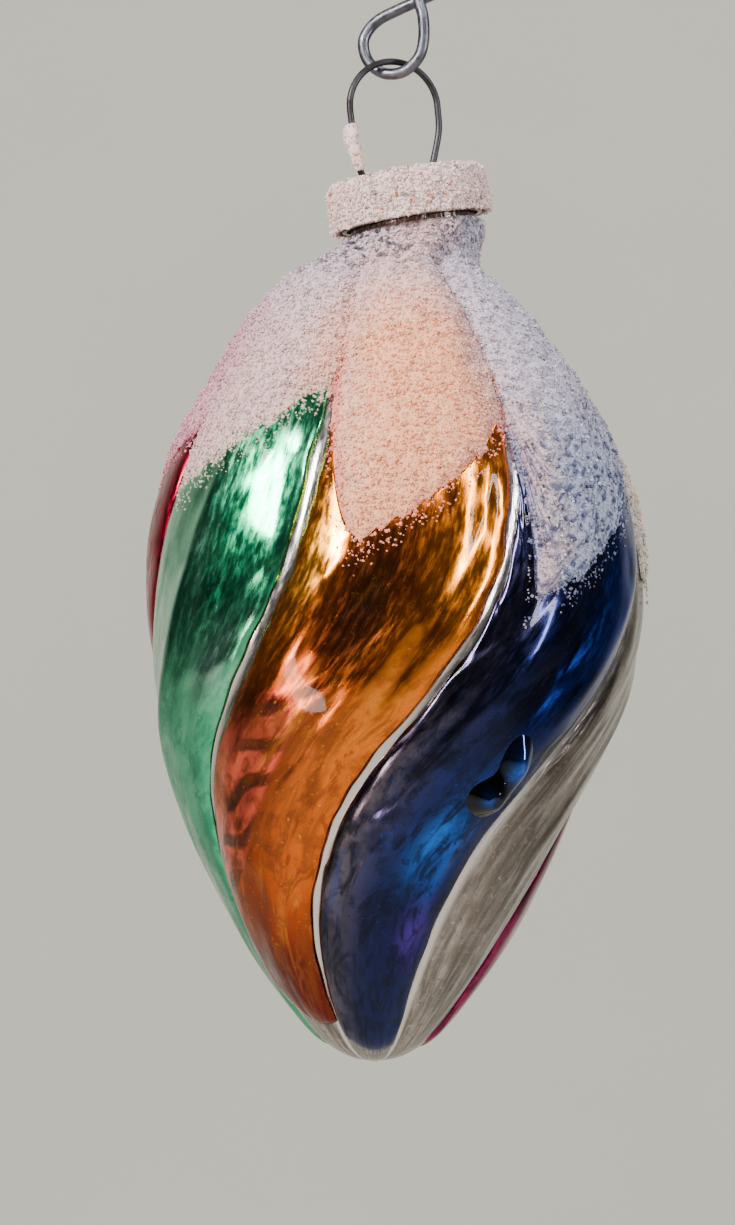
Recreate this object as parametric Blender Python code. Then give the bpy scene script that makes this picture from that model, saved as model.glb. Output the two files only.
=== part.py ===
"""Hanging icicle ornament: a wire hook, a spring-wire loop, a frosted cap, and a hollow bulb of
silvered glass with seven twisted lobes, each with its own stripe of lacquer, under a crust of snow.

Metres, +Z up. The origin is the inside of the hook's crown, where the hook rests on a branch.
The front of the ornament faces -Y. Run with: blender --background --python part.py
"""

import math

import bmesh
import bpy
from mathutils import Matrix, Vector

MM = 0.001
UP = Vector((0, 0, 1))

# Hook: one bent wire, an open crook at the top and a closed eye at the bottom
HOOK_WIRE = 1.04 * MM
HOOK_LENGTH = 34 * MM  # inside of the crown to the wire's centre at the bottom of the eye
CROOK_RADIUS = 6.0 * MM  # inside the crook
EYE_WIDTH = 5.9 * MM  # between the wire's centres
EYE_HEIGHT = 6.8 * MM
HOOK_TURN = math.radians(-22)  # the hook's plane, turned about the vertical

# Loop: one spring wire whose legs go down through the cap into the neck
LOOP_WIRE = 0.6 * MM
LOOP_RADIUS = 4.2 * MM  # of the wire's centre round the top
LOOP_CENTRE = 7.0 * MM  # the middle of that arc, above the cap
LOOP_TURN = math.radians(20)
LINK_GAP = 0.3 * MM  # between the hook's eye and the loop
LEG_SPREAD = 3.5 * MM
LEG_DEPTH = 12 * MM
CLUMP_RADIUS, CLUMP_SWELL = 0.66 * MM, 0.24 * MM  # the snow on the loop's left side
CLUMP_OUTWARD, CLUMP_GAP = 0.22 * MM, 0.1 * MM

# Cap: a drawn metal cup with two holes, leaning as the neck does
CAP_RADIUS = 6.35 * MM
CAP_WALL = 0.35 * MM
CAP_SKIRT = 3.4 * MM
CAP_LEAN = math.radians(9)
HOLE_OFFSET = 3.0 * MM
HOLE_SHIFT = -0.8 * MM  # both holes are off the cap's centre, along the loop
HOLE_RADIUS = 0.6 * MM
SNOW_HOLE_RADIUS = 0.75 * MM

# Bulb, in its own frame: the tip is at the origin, +Z is up, and the middle sways to +X
SWAY = 1.9 * MM
SWAY_START, SWAY_END = 6 * MM, 46 * MM
# The glass outline over the crests of the lobes: radius and height, from the tip up to the neck
OUTLINE = [
    (0.0, 0.3), (3.0, 1.1), (6.3, 3.8), (11.6, 11.0), (16.8, 21.5), (21.3, 33.0),
    (22.4, 43.5), (20.1, 54.0), (13.7, 64.9), (9.9, 69.2), (6.9, 72.0), (5.7, 74.5), (5.6, 77.0),
]
FIRST_RING = 1.0 * MM
GLASS_WALL = 0.6 * MM
RIM_HEIGHT = 78.1 * MM
CAP_SEAT_HEIGHT = 78.87 * MM
NECK_SHIFT = 1.55 * MM  # the neck is off centre, over a shoulder that leans the other way
SHOULDER_SHIFT = -0.6 * MM
NECK_START, NECK_STRAIGHT = 70.5 * MM, 74.5 * MM
LOBES = ("green", "orange", "blue", "silver", "magenta", "gold", "red")
LOBE_ANGLE = math.tau / len(LOBES)
FIRST_GROOVE = -2 * LOBE_ANGLE  # the green lobe's left groove at the middle of the twist
TWIST_SWING = math.radians(32.5)
TWIST_MIDDLE, TWIST_LENGTH = 29.5 * MM, 14.5 * MM
GROOVE_DEPTH = 1.25 * MM
SHOULDER_DEPTH = 1.9 * MM
DEEPER_START, DEEPER_END = 50 * MM, 68 * MM
TIP_GROOVES_END = 16 * MM
CREST = 0.12  # where a lobe is highest, in shares of its width right of its middle
LEFT_FLANK, RIGHT_FLANK = 3.0, 1.9  # how late each flank falls to its groove

# Coats on the bulb: how far each starts from the glass, and its thickness
COAT_GAP = 0.3 * MM
LACQUER = 0.25 * MM
SNOW_GAP = 0.5 * MM  # the snow's rows cross the lobes at a slant, so it stands off further
SNOW = 0.5 * MM
SILVERING = 0.2 * MM
LACQUER_START = 1.7 * MM
BARE_LOBE = "silver"  # the mirror shows through plain glass there
LACQUER_MARGIN = 0.04  # bare share of a lobe's width along each groove
LACQUER_SNOW_GAP = 0.9 * MM
SNOW_TOP = 75.0 * MM
SILVERING_TOP = 68.5 * MM
NECK_FOOT = 66 * MM  # above it the outline turns fast, and the rows are closer together
# Each lobe's tongue of snow: its tip's place across the lobe, the tip's height, the height at
# the lobe's left groove
SNOW_TONGUES = {
    "green": (-0.30, 50.5 * MM, 56.5 * MM),
    "orange": (-0.20, 45.6 * MM, 59.5 * MM),
    "blue": (-0.30, 40.5 * MM, 56.5 * MM),
    "silver": (-0.30, 43.0 * MM, 55.0 * MM),
    "magenta": (-0.14, 46.0 * MM, 54.0 * MM),
    "gold": (-0.20, 48.0 * MM, 56.0 * MM),
    "red": (-0.16, 50.0 * MM, 57.0 * MM),
}
TONGUE_BEND = 1.35  # the edge stays low beside a tongue's tip, then climbs
# A run of lacquer that dried as two joined drops on the blue lobe
DRIP_ACROSS, DRIP_HEIGHT = 0.22, 26.6 * MM
DRIP_HALF_ACROSS, DRIP_HALF_HEIGHT = 0.11, 3.3 * MM
DRIP_THICK = 0.6 * MM

# Mesh detail
ACROSS = (-0.5, -0.38, -0.15, 0.1, 0.33)  # columns across one lobe
OUTLINE_STEPS = 12
WIRE_STEPS = 4
CAP_SEGMENTS, HOLE_SEGMENTS = 32, 16
CLUMP_SEGMENTS = 10
GLASS_ROWS, GLASS_NECK_ROWS = 21, 12
SILVERING_ROWS = 18
LACQUER_ROWS = 16
SNOW_ROWS, SNOW_NECK_ROWS = 9, 9
DRIP_SEGMENTS = 12


def clear_scene():
    for obj in list(bpy.data.objects):
        bpy.data.objects.remove(obj)


def material(name, colour, roughness, metallic):
    made = bpy.data.materials.new(name)
    made.use_nodes = True
    shader = made.node_tree.nodes["Principled BSDF"]
    shader.inputs["Base Color"].default_value = (*colour, 1)
    shader.inputs["Roughness"].default_value = roughness
    shader.inputs["Metallic"].default_value = metallic
    return made


def place(obj, parent=None, surface=None):
    bpy.context.scene.collection.objects.link(obj)
    obj.parent = parent
    if surface:
        obj.data.materials.append(surface)
    return obj


def frame(name, matrix):
    empty = bpy.data.objects.new(name, None)
    bpy.context.scene.collection.objects.link(empty)
    empty.matrix_world = matrix
    return empty


def smooth_step(value, low, high):
    share = min(1, max(0, (value - low) / (high - low)))
    return share * share * (3 - 2 * share)


def smooth_path(points, steps):
    """Points on a Catmull-Rom curve through these points, with this many steps between two."""
    ends = [2 * points[0] - points[1], *points, 2 * points[-1] - points[-2]]
    path = []
    for a, b, c, d in zip(ends, ends[1:], ends[2:], ends[3:]):
        for step in range(steps):
            t = step / steps
            path.append(
                0.5 * (2 * b + (c - a) * t + (2 * a - 5 * b + 4 * c - d) * t**2)
                + 0.5 * (3 * b - a - 3 * c + d) * t**3
            )
    return path + [points[-1]]


def wire(name, path, diameter, parent, surface):
    """A round wire along these points."""
    curve = bpy.data.curves.new(name, "CURVE")
    curve.dimensions = "3D"
    curve.bevel_depth = diameter / 2
    curve.bevel_resolution = 2
    curve.use_fill_caps = True
    spline = curve.splines.new("POLY")
    spline.points.add(len(path) - 1)
    for point, place_on in zip(spline.points, path):
        point.co = (*place_on, 1)
    return place(bpy.data.objects.new(name, curve), parent, surface)


def mesh_object(name, points, faces, parent, surface):
    mesh = bpy.data.meshes.new(name)
    mesh.from_pydata(points, [], faces)
    made = bmesh.new()
    made.from_mesh(mesh)
    bmesh.ops.recalc_face_normals(made, faces=made.faces)
    made.to_mesh(mesh)
    made.free()
    mesh.shade_smooth()
    mesh.set_sharp_from_angle(angle=math.radians(40))
    return place(bpy.data.objects.new(name, mesh), parent, surface)


def shell(name, outer, inner, parent, surface, ring=True, poles=None):
    """A thin solid between two grids of rows of points. A ring's rows close on themselves.
    Poles are the outer and the inner point that close the first rows."""
    rows, columns = len(outer), len(outer[0])
    points = [p for grid in (outer, inner) for row in grid for p in row]
    inside = rows * columns
    across = [(c, (c + 1) % columns) for c in range(columns if ring else columns - 1)]
    faces = []
    for row in range(rows - 1):
        for a, b in across:
            low, high = row * columns, (row + 1) * columns
            # Both walls start at the same corner, so that both bend along the same diagonal.
            faces.append((low + b, high + b, high + a, low + a))
            faces.append(tuple(inside + i for i in (low + b, low + a, high + a, high + b)))
    last = (rows - 1) * columns
    rims = (last,) if poles else (0, last)
    for edge in rims:
        faces += [(edge + a, edge + b, inside + edge + b, inside + edge + a) for a, b in across]
    if poles:
        points += list(poles)
        faces += [(2 * inside, b, a) for a, b in across]
        faces += [(2 * inside + 1, inside + a, inside + b) for a, b in across]
    if not ring:
        for side in (0, columns - 1):
            for row in range(rows - 1):
                a, b = row * columns + side, (row + 1) * columns + side
                faces.append((a, b, inside + b, inside + a))
    return mesh_object(name, points, faces, parent, surface)


def turned(name, profile, parent, surface):
    """A solid turned about Z. The profile runs from a point on the axis to another."""
    points, rings = [], []
    for radius, height in profile:
        count = CAP_SEGMENTS if radius else 1
        rings.append([len(points) + i for i in range(count)])
        angles = [math.tau * i / count for i in range(count)]
        points += [(radius * math.cos(a), radius * math.sin(a), height) for a in angles]
    faces = []
    for low, high in zip(rings, rings[1:]):
        for i in range(CAP_SEGMENTS):
            j = (i + 1) % CAP_SEGMENTS
            corners = (low[i % len(low)], low[j % len(low)], high[j % len(high)], high[i % len(high)])
            faces.append(tuple(dict.fromkeys(corners)))
    return mesh_object(name, points, faces, parent, surface)


def drill(obj, centre, radius):
    """Cuts a round hole along Z, right through."""
    mesh = bpy.data.meshes.new(f"{obj.name}_drill")
    made = bmesh.new()
    sides = {"radius1": radius, "radius2": radius, "depth": 4 * MM}
    bmesh.ops.create_cone(made, cap_ends=True, segments=HOLE_SEGMENTS, **sides)
    made.to_mesh(mesh)
    made.free()
    cutter = place(bpy.data.objects.new(mesh.name, mesh), obj)
    cutter.location = centre
    cutter.hide_render = True
    cutter.display_type = "WIRE"
    cut = obj.modifiers.new("hole", "BOOLEAN")
    cut.object = cutter
    cut.operation = "DIFFERENCE"


# The bulb's surface


def outline_curve():
    control = [Vector((radius * MM, height * MM)) for radius, height in OUTLINE]
    control.append(Vector((control[-1].x, RIM_HEIGHT)))
    return smooth_path(control, OUTLINE_STEPS)


OUTLINE_CURVE = outline_curve()


def crest_radius(height):
    for low, high in zip(OUTLINE_CURVE, OUTLINE_CURVE[1:]):
        if height <= high.y:
            share = (height - low.y) / (high.y - low.y)
            return low.x + (high.x - low.x) * share
    return OUTLINE_CURVE[-1].x


def outline_heights(low, high, rows):
    """Heights of rows spread evenly along the outline, not along the axis."""
    stretch = [p for p in OUTLINE_CURVE if low < p.y < high]
    stretch = [Vector((crest_radius(low), low)), *stretch, Vector((crest_radius(high), high))]
    lengths = [0]
    for a, b in zip(stretch, stretch[1:]):
        lengths.append(lengths[-1] + (b - a).length)
    heights, at = [], 0
    for row in range(rows):
        want = lengths[-1] * row / (rows - 1)
        while at < len(lengths) - 2 and lengths[at + 1] < want:
            at += 1
        share = (want - lengths[at]) / (lengths[at + 1] - lengths[at])
        heights.append(stretch[at].y + (stretch[at + 1].y - stretch[at].y) * share)
    return heights


def twist(height):
    return TWIST_SWING * math.tanh((height - TWIST_MIDDLE) / TWIST_LENGTH)


def groove_depth(height):
    """Deepest at the shoulder, and gone at the neck and the tip."""
    deeper = (SHOULDER_DEPTH - GROOVE_DEPTH) * smooth_step(height, DEEPER_START, DEEPER_END)
    near_tip = smooth_step(height, 0, TIP_GROOVES_END) ** 0.6
    near_neck = 1 - smooth_step(height, NECK_START, NECK_STRAIGHT)
    return (GROOVE_DEPTH + deeper) * near_tip * near_neck


def lobe_fall(across):
    """0 on a lobe's crest, 1 in the grooves: a steep left flank and an easy right one."""
    if across < CREST:
        return ((CREST - across) / (CREST + 0.5)) ** LEFT_FLANK
    return ((across - CREST) / (0.5 - CREST)) ** RIGHT_FLANK


def lean_at(height):
    return CAP_LEAN * smooth_step(height, NECK_START, NECK_STRAIGHT)


def middle_at(height):
    """The middle of the glass at a height. The top of the neck leans with the cap."""
    shift = SWAY * smooth_step(height, SWAY_START, SWAY_END)
    shift += SHOULDER_SHIFT * smooth_step(height, 60 * MM, NECK_START)
    shift += (NECK_SHIFT - SHOULDER_SHIFT) * smooth_step(height, NECK_START, NECK_STRAIGHT)
    shift -= math.tan(CAP_LEAN) * max(0, height - NECK_STRAIGHT)
    return Vector((shift, 0, height))


def bulb_point(lobe, across, height):
    """A point of the glass: across runs from -0.5 at the lobe's left groove to 0.5."""
    angle = FIRST_GROOVE + (lobe + across + 0.5) * LOBE_ANGLE + twist(height)
    radius = crest_radius(height) - groove_depth(height) * lobe_fall(across)
    ring = Vector((radius * math.sin(angle), -radius * math.cos(angle), 0))
    return middle_at(height) + Matrix.Rotation(-lean_at(height), 3, "Y") @ ring


def bulb_normal(lobe, across, height):
    step_across, step_up = 0.02, 0.2 * MM
    low = max(height - step_up, FIRST_RING / 2)
    along = bulb_point(lobe, across, height + step_up) - bulb_point(lobe, across, low)
    if across - step_across < -0.5:  # in a groove, between the flanks of two lobes
        before = bulb_point(lobe - 1, across - step_across + 1, height)
    else:
        before = bulb_point(lobe, across - step_across, height)
    if across + step_across > 0.5:
        after = bulb_point(lobe + 1, across + step_across - 1, height)
    else:
        after = bulb_point(lobe, across + step_across, height)
    return (after - before).cross(along).normalized()


def coat_point(lobe, across, height, offset):
    return bulb_point(lobe, across, height) + bulb_normal(lobe, across, height) * offset


def coat_row(height, offset):
    return [
        coat_point(lobe, across, height, offset) for lobe in range(len(LOBES)) for across in ACROSS
    ]


def snow_edge(lobe, across):
    """The height of the snow's lower edge: one tongue down each lobe."""
    tip_across, tip, left = SNOW_TONGUES[LOBES[lobe]]
    right = SNOW_TONGUES[LOBES[(lobe + 1) % len(LOBES)]][2]
    if across < tip_across:
        return tip + (left - tip) * (tip_across - across) / (tip_across + 0.5)
    return tip + (right - tip) * ((across - tip_across) / (0.5 - tip_across)) ** TONGUE_BEND


# The pieces


def make_hook(surface):
    """The eye lies in the hook's plane, and the wire's end passes behind the shank."""
    half, tall = EYE_WIDTH / 2, EYE_HEIGHT
    behind = HOOK_WIRE * 1.27
    eye = [
        (1.30 * half, behind, 1.08 * tall), (0.80 * half, behind, 1.0 * tall),
        (0.10 * half, 0.75 * behind, 0.88 * tall), (-0.62 * half, 0.4 * behind, 0.72 * tall),
        (-0.96 * half, 0, 0.48 * tall), (-0.86 * half, 0, 0.22 * tall),
        (-0.46 * half, 0, 0.05 * tall), (0, 0, 0), (0.46 * half, 0, 0.05 * tall),
        (0.86 * half, 0, 0.22 * tall), (1.0 * half, 0, 0.46 * tall),
        (0.97 * half, 0, 0.74 * tall), (0.82 * half, 0, 1.06 * tall), (0.90 * half, 0, 1.8 * tall),
    ]
    eye = [Vector(p) for p in eye]
    bend = CROOK_RADIUS + HOOK_WIRE / 2
    middle = HOOK_LENGTH - CROOK_RADIUS
    crook = []
    for degrees in range(-20, 211, 10):
        angle = math.radians(degrees)
        crook.append(Vector((bend * math.cos(angle), 0, middle + bend * math.sin(angle))))
    flick = crook[-1] + Vector((-1.0 * MM, 0, -1.6 * MM))
    path = smooth_path([*eye, crook[0]], WIRE_STEPS)[:-1] + crook + [flick]
    turn = Matrix.Rotation(HOOK_TURN, 3, "Z")
    bottom = Vector((0, 0, -HOOK_LENGTH))
    wire("wire_hook", [bottom + turn @ p for p in path], HOOK_WIRE, None, surface)


def loop_path():
    """In the loop's plane: x across it, z above the cap's top. Left leg, arc, right leg."""
    legs = [
        (0.78 * LEG_SPREAD, 1.6, -LEG_DEPTH), (0.88 * LEG_SPREAD, 1.4, -0.6 * LEG_DEPTH),
        (0.9 * LEG_SPREAD, 1.2, -0.27 * LEG_DEPTH), (HOLE_OFFSET, 1, 0),
        (0.86 * LOOP_RADIUS, 0.7, 0.3 * LOOP_CENTRE), (0.98 * LOOP_RADIUS, 0.2, 0.66 * LOOP_CENTRE),
    ]
    left = [Vector((share * HOLE_SHIFT - out, 0, height)) for out, share, height in legs]
    right = [Vector((share * HOLE_SHIFT + out, 0, height)) for out, share, height in legs]
    arc = []
    for degrees in range(180, -1, -12):
        angle = math.radians(degrees)
        arc.append(
            Vector((LOOP_RADIUS * math.cos(angle), 0, LOOP_CENTRE + LOOP_RADIUS * math.sin(angle)))
        )
    left_side = smooth_path([*left, arc[0]], WIRE_STEPS)
    right_side = smooth_path([arc[-1], *reversed(right)], WIRE_STEPS)
    return left_side[:-1] + arc + right_side[1:]


def make_loop_snow(pivot, parent, surface):
    """A clump of snow round the loop's left side, thicker on the outside."""
    low, high = 0.26 * LOOP_CENTRE, 0.86 * LOOP_CENTRE
    path = [p for p in loop_path() if p.x < 0 and low < p.z < high]
    outer, inner = [], []
    for i, on_wire in enumerate(path):
        share = i / (len(path) - 1)
        radius = CLUMP_RADIUS + CLUMP_SWELL * math.sin(math.pi * (0.15 + 0.6 * share))
        centre = on_wire - pivot
        outer.append([])
        inner.append([])
        for k in range(CLUMP_SEGMENTS):
            angle = math.tau * k / CLUMP_SEGMENTS
            spoke = Vector((math.cos(angle), math.sin(angle), 0))
            outer[-1].append(centre + spoke * radius - Vector((CLUMP_OUTWARD, 0, 0)))
            inner[-1].append(centre + spoke * (LOOP_WIRE / 2 + CLUMP_GAP))
    shell("loop_snow", outer, inner, parent, surface)


def make_cap(holes_middle, parent, metal, snow):
    """The cap's own origin is the middle of its top. Its frame is between its two holes."""
    inside = CAP_RADIUS - CAP_WALL
    profile = [
        (0, 0), (0.88 * CAP_RADIUS, 0), (0.97 * CAP_RADIUS, -0.05 * CAP_RADIUS),
        (CAP_RADIUS, -0.15 * CAP_RADIUS), (CAP_RADIUS, -CAP_SKIRT), (inside, -CAP_SKIRT),
        (inside, -0.17 * CAP_RADIUS), (0.86 * CAP_RADIUS, -CAP_WALL), (0, -CAP_WALL),
    ]
    cap = turned("cap_shell", profile, parent, metal)
    low = CAP_RADIUS + COAT_GAP
    high = low + SNOW
    profile = [
        (0, COAT_GAP + SNOW), (0.82 * high, COAT_GAP + SNOW), (0.95 * high, 0.09 * high),
        (high, -0.03 * high), (high, -CAP_SKIRT), (low, -CAP_SKIRT), (low, -0.1 * high),
        (0.93 * low, COAT_GAP), (0, COAT_GAP),
    ]
    crust = turned("cap_snow", profile, parent, snow)
    along_loop = Matrix.Rotation(LOOP_TURN, 3, "Z") @ Vector((1, 0, 0))
    for part, radius in ((cap, HOLE_RADIUS), (crust, SNOW_HOLE_RADIUS)):
        part.location = -holes_middle
        for side in (-1, 1):
            drill(part, along_loop * (HOLE_SHIFT + side * HOLE_OFFSET), radius)


def make_glass(parent, surface):
    heights = outline_heights(FIRST_RING, NECK_FOOT, GLASS_ROWS)
    heights += outline_heights(NECK_FOOT, RIM_HEIGHT, GLASS_NECK_ROWS)[1:]
    outer = [coat_row(h, 0) for h in heights]
    inner = [coat_row(h, -GLASS_WALL) for h in heights]
    tip = OUTLINE[0][1] * MM
    poles = (Vector((0, 0, tip)), Vector((0, 0, tip + GLASS_WALL)))
    shell("glass_bulb", outer, inner, parent, surface, poles=poles)


def make_silvering(parent, surface):
    """The mirror inside the glass, from the tip to the foot of the neck."""
    start = GLASS_WALL + COAT_GAP
    heights = outline_heights(FIRST_RING, SILVERING_TOP, SILVERING_ROWS)
    outer = [coat_row(h, -start) for h in heights]
    inner = [coat_row(h, -start - SILVERING) for h in heights]
    tip = OUTLINE[0][1] * MM + start
    poles = (Vector((0, 0, tip)), Vector((0, 0, tip + SILVERING)))
    shell("silver_lining", outer, inner, parent, surface, poles=poles)


def make_lacquer(lobe, parent, surface):
    """One lobe's stripe of lacquer, from near the tip up to the snow."""
    columns = [LACQUER_MARGIN - 0.5, *ACROSS[1:], 0.5 - LACQUER_MARGIN]
    outer, inner = [], []
    for row in range(LACQUER_ROWS):
        share = row / (LACQUER_ROWS - 1)
        outer.append([])
        inner.append([])
        for across in columns:
            top = snow_edge(lobe, across) - LACQUER_SNOW_GAP
            height = LACQUER_START + (top - LACQUER_START) * share
            outer[-1].append(coat_point(lobe, across, height, COAT_GAP + LACQUER))
            inner[-1].append(coat_point(lobe, across, height, COAT_GAP))
    shell(f"lacquer_{LOBES[lobe]}", outer, inner, parent, surface, ring=False)


def make_drip(parent, surface):
    """A low dome with a waist, on top of the blue lacquer."""
    lobe = LOBES.index("blue")
    base = 2 * COAT_GAP + LACQUER

    def point(share, angle, offset):
        reach = share * (1 - 0.25 * math.cos(angle) ** 2)
        across = DRIP_ACROSS + DRIP_HALF_ACROSS * reach * math.cos(angle)
        height = DRIP_HEIGHT + DRIP_HALF_HEIGHT * reach * math.sin(angle)
        return coat_point(lobe, across, height, offset)

    outer, inner = [], []
    for share in (0.4, 0.75, 1):
        thick = DRIP_THICK * (1.2 - share * share)
        angles = [math.tau * i / DRIP_SEGMENTS for i in range(DRIP_SEGMENTS)]
        outer.append([point(share, angle, base + thick) for angle in angles])
        inner.append([point(share, angle, base) for angle in angles])
    poles = (point(0, 0, base + 1.2 * DRIP_THICK), point(0, 0, base))
    shell("lacquer_drip", outer, inner, parent, surface, poles=poles)


def make_shoulder_snow(parent, surface):
    """Rows fan out from the jagged lower edge to the foot of the neck, then go round it."""
    outer, inner = [], []
    for row in range(SNOW_ROWS):
        outer.append([])
        inner.append([])
        for lobe in range(len(LOBES)):
            for across in ACROSS:
                edge = snow_edge(lobe, across)
                height = edge + (NECK_FOOT - edge) * row / (SNOW_ROWS - 1)
                outer[-1].append(coat_point(lobe, across, height, SNOW_GAP + SNOW))
                inner[-1].append(coat_point(lobe, across, height, SNOW_GAP))
    for height in outline_heights(NECK_FOOT, SNOW_TOP, SNOW_NECK_ROWS)[1:]:
        outer.append(coat_row(height, SNOW_GAP + SNOW))
        inner.append(coat_row(height, SNOW_GAP))
    shell("shoulder_snow", outer, inner, parent, surface)


def main():
    clear_scene()
    steel = material("hook_steel", (0.36, 0.36, 0.40), 0.35, 1)
    spring = material("loop_steel", (0.10, 0.09, 0.10), 0.45, 1)
    tin = material("cap_metal", (0.55, 0.50, 0.46), 0.4, 1)
    glass = material("clear_glass", (0.80, 0.84, 0.82), 0.05, 0)
    mirror = material("silver_mirror", (0.75, 0.74, 0.72), 0.1, 1)
    snow = material("snow_frosting", (0.80, 0.70, 0.69), 0.9, 0)
    lacquers = {
        "green": (0.05, 0.45, 0.27), "orange": (0.80, 0.22, 0.02), "blue": (0.01, 0.03, 0.22),
        "magenta": (0.36, 0.03, 0.14), "gold": (0.75, 0.48, 0.08), "red": (0.28, 0.01, 0.04),
    }

    make_hook(steel)

    # The loop leans with the cap, and its arc rests over the bottom of the hook's eye.
    lean = Matrix.Rotation(-CAP_LEAN, 4, "Y")
    lean_and_turn = lean @ Matrix.Rotation(LOOP_TURN, 4, "Z")
    normal = lean_and_turn @ Vector((0, 1, 0))
    up_in_plane = (UP - UP.dot(normal) * normal).normalized()
    eye = Vector((0, 0, -HOOK_LENGTH))
    arc_centre = eye + UP * (HOOK_WIRE / 2 + LINK_GAP + LOOP_WIRE / 2) - LOOP_RADIUS * up_in_plane
    cap_top = arc_centre - LOOP_CENTRE * (lean @ UP)

    # The loop swings on the eye's wire, and the cap rocks about the line through its holes.
    loop_frame = frame("loop_frame", Matrix.Translation(eye) @ lean_and_turn)
    pivot = (Matrix.Translation(cap_top) @ lean_and_turn).inverted() @ eye
    wire("hanging_loop", [p - pivot for p in loop_path()], LOOP_WIRE, loop_frame, spring)
    make_loop_snow(pivot, loop_frame, snow)
    holes_middle = Matrix.Rotation(LOOP_TURN, 3, "Z") @ Vector((HOLE_SHIFT, 0, -CAP_WALL / 2))
    cap_matrix = Matrix.Translation(cap_top + lean @ holes_middle) @ lean
    make_cap(holes_middle, frame("cap_frame", cap_matrix), tin, snow)

    tip = cap_top - middle_at(CAP_SEAT_HEIGHT)
    bulb_frame = frame("bulb_frame", Matrix.Translation(tip))
    make_glass(bulb_frame, glass)
    make_silvering(bulb_frame, mirror)
    for lobe, name in enumerate(LOBES):
        if name != BARE_LOBE:
            make_lacquer(lobe, bulb_frame, material(f"lacquer_{name}", lacquers[name], 0.12, 0.9))
    make_drip(bulb_frame, material("lacquer_drip", (0.004, 0.01, 0.06), 0.05, 0))
    make_shoulder_snow(bulb_frame, snow)


main()
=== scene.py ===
"""Looks of the hanging ornament: mirrored glass lobes under coloured lacquer, a sugary crust of
snow made of loose grains, and bent wires. Metres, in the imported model's frame, +Z up, front -Y."""

import math

import bmesh
import bpy
import numpy as np
from mathutils import Matrix, Vector, noise


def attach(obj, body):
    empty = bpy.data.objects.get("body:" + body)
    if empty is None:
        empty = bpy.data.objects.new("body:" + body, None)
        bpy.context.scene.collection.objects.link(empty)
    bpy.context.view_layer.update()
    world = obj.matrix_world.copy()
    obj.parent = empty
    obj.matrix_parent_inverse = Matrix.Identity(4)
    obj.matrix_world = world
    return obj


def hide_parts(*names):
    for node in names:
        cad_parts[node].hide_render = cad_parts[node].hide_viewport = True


MM = 0.001
UP = Vector((0, 0, 1))

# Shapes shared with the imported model
HOOK_WIRE = 1.04 * MM
HOOK_LENGTH = 34 * MM  # inside of the crown to the wire's centre at the bottom of the eye
CROOK_RADIUS = 6.0 * MM
EYE_WIDTH, EYE_HEIGHT = 5.9 * MM, 6.8 * MM
HOOK_TURN = math.radians(-22)
LOOP_WIRE = 0.6 * MM
LOOP_RADIUS = 4.2 * MM
LOOP_CENTRE = 7.0 * MM  # the middle of the loop's arc, above the cap
LOOP_TURN = math.radians(20)
LINK_GAP = 0.3 * MM
LEG_SPREAD, LEG_DEPTH = 3.5 * MM, 12 * MM
CAP_RADIUS = 6.35 * MM
CAP_SKIRT = 3.4 * MM
CAP_LEAN = math.radians(9)
HOLE_OFFSET, HOLE_SHIFT = 3.0 * MM, -0.8 * MM
SNOW_HOLE_RADIUS = 0.7 * MM
SWAY = 1.9 * MM
SWAY_START, SWAY_END = 6 * MM, 46 * MM
OUTLINE = [
    (0.0, 0.3), (3.0, 1.1), (6.3, 3.8), (11.6, 11.0), (16.8, 21.5), (21.3, 33.0),
    (22.4, 43.5), (20.1, 54.0), (13.7, 64.9), (9.9, 69.2), (6.9, 72.0), (5.7, 74.5), (5.6, 77.0),
]
TIP_HEIGHT = OUTLINE[0][1] * MM
RIM_HEIGHT = 78.1 * MM
CAP_SEAT_HEIGHT = 78.87 * MM
NECK_SHIFT, SHOULDER_SHIFT = 1.55 * MM, -0.6 * MM
NECK_START, NECK_STRAIGHT = 70.5 * MM, 74.5 * MM
LOBES = ("green", "orange", "blue", "silver", "magenta", "gold", "red")
LOBE_ANGLE = math.tau / len(LOBES)
FIRST_GROOVE = -2 * LOBE_ANGLE
TWIST_SWING = math.radians(32.5)
TWIST_MIDDLE, TWIST_LENGTH = 29.5 * MM, 14.5 * MM
GROOVE_DEPTH, SHOULDER_DEPTH = 1.25 * MM, 1.9 * MM
DEEPER_START, DEEPER_END = 50 * MM, 68 * MM
TIP_GROOVES_END = 16 * MM
CREST, LEFT_FLANK, RIGHT_FLANK = 0.12, 3.0, 1.9
GLASS_WALL = 0.6 * MM
SNOW_TOP = 75.0 * MM
NECK_FOOT = 66 * MM
SNOW_TONGUES = {
    "green": (-0.30, 50.5 * MM, 56.5 * MM),
    "orange": (-0.20, 45.6 * MM, 59.5 * MM),
    "blue": (-0.30, 40.5 * MM, 56.5 * MM),
    "silver": (-0.30, 43.0 * MM, 55.0 * MM),
    "magenta": (-0.14, 46.0 * MM, 54.0 * MM),
    "gold": (-0.20, 48.0 * MM, 56.0 * MM),
    "red": (-0.16, 50.0 * MM, 57.0 * MM),
}
TONGUE_BEND, TONGUE_RISE = 1.35, 1.9
DRIP_ACROSS, DRIP_HEIGHT = 0.22, 26.6 * MM

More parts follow.
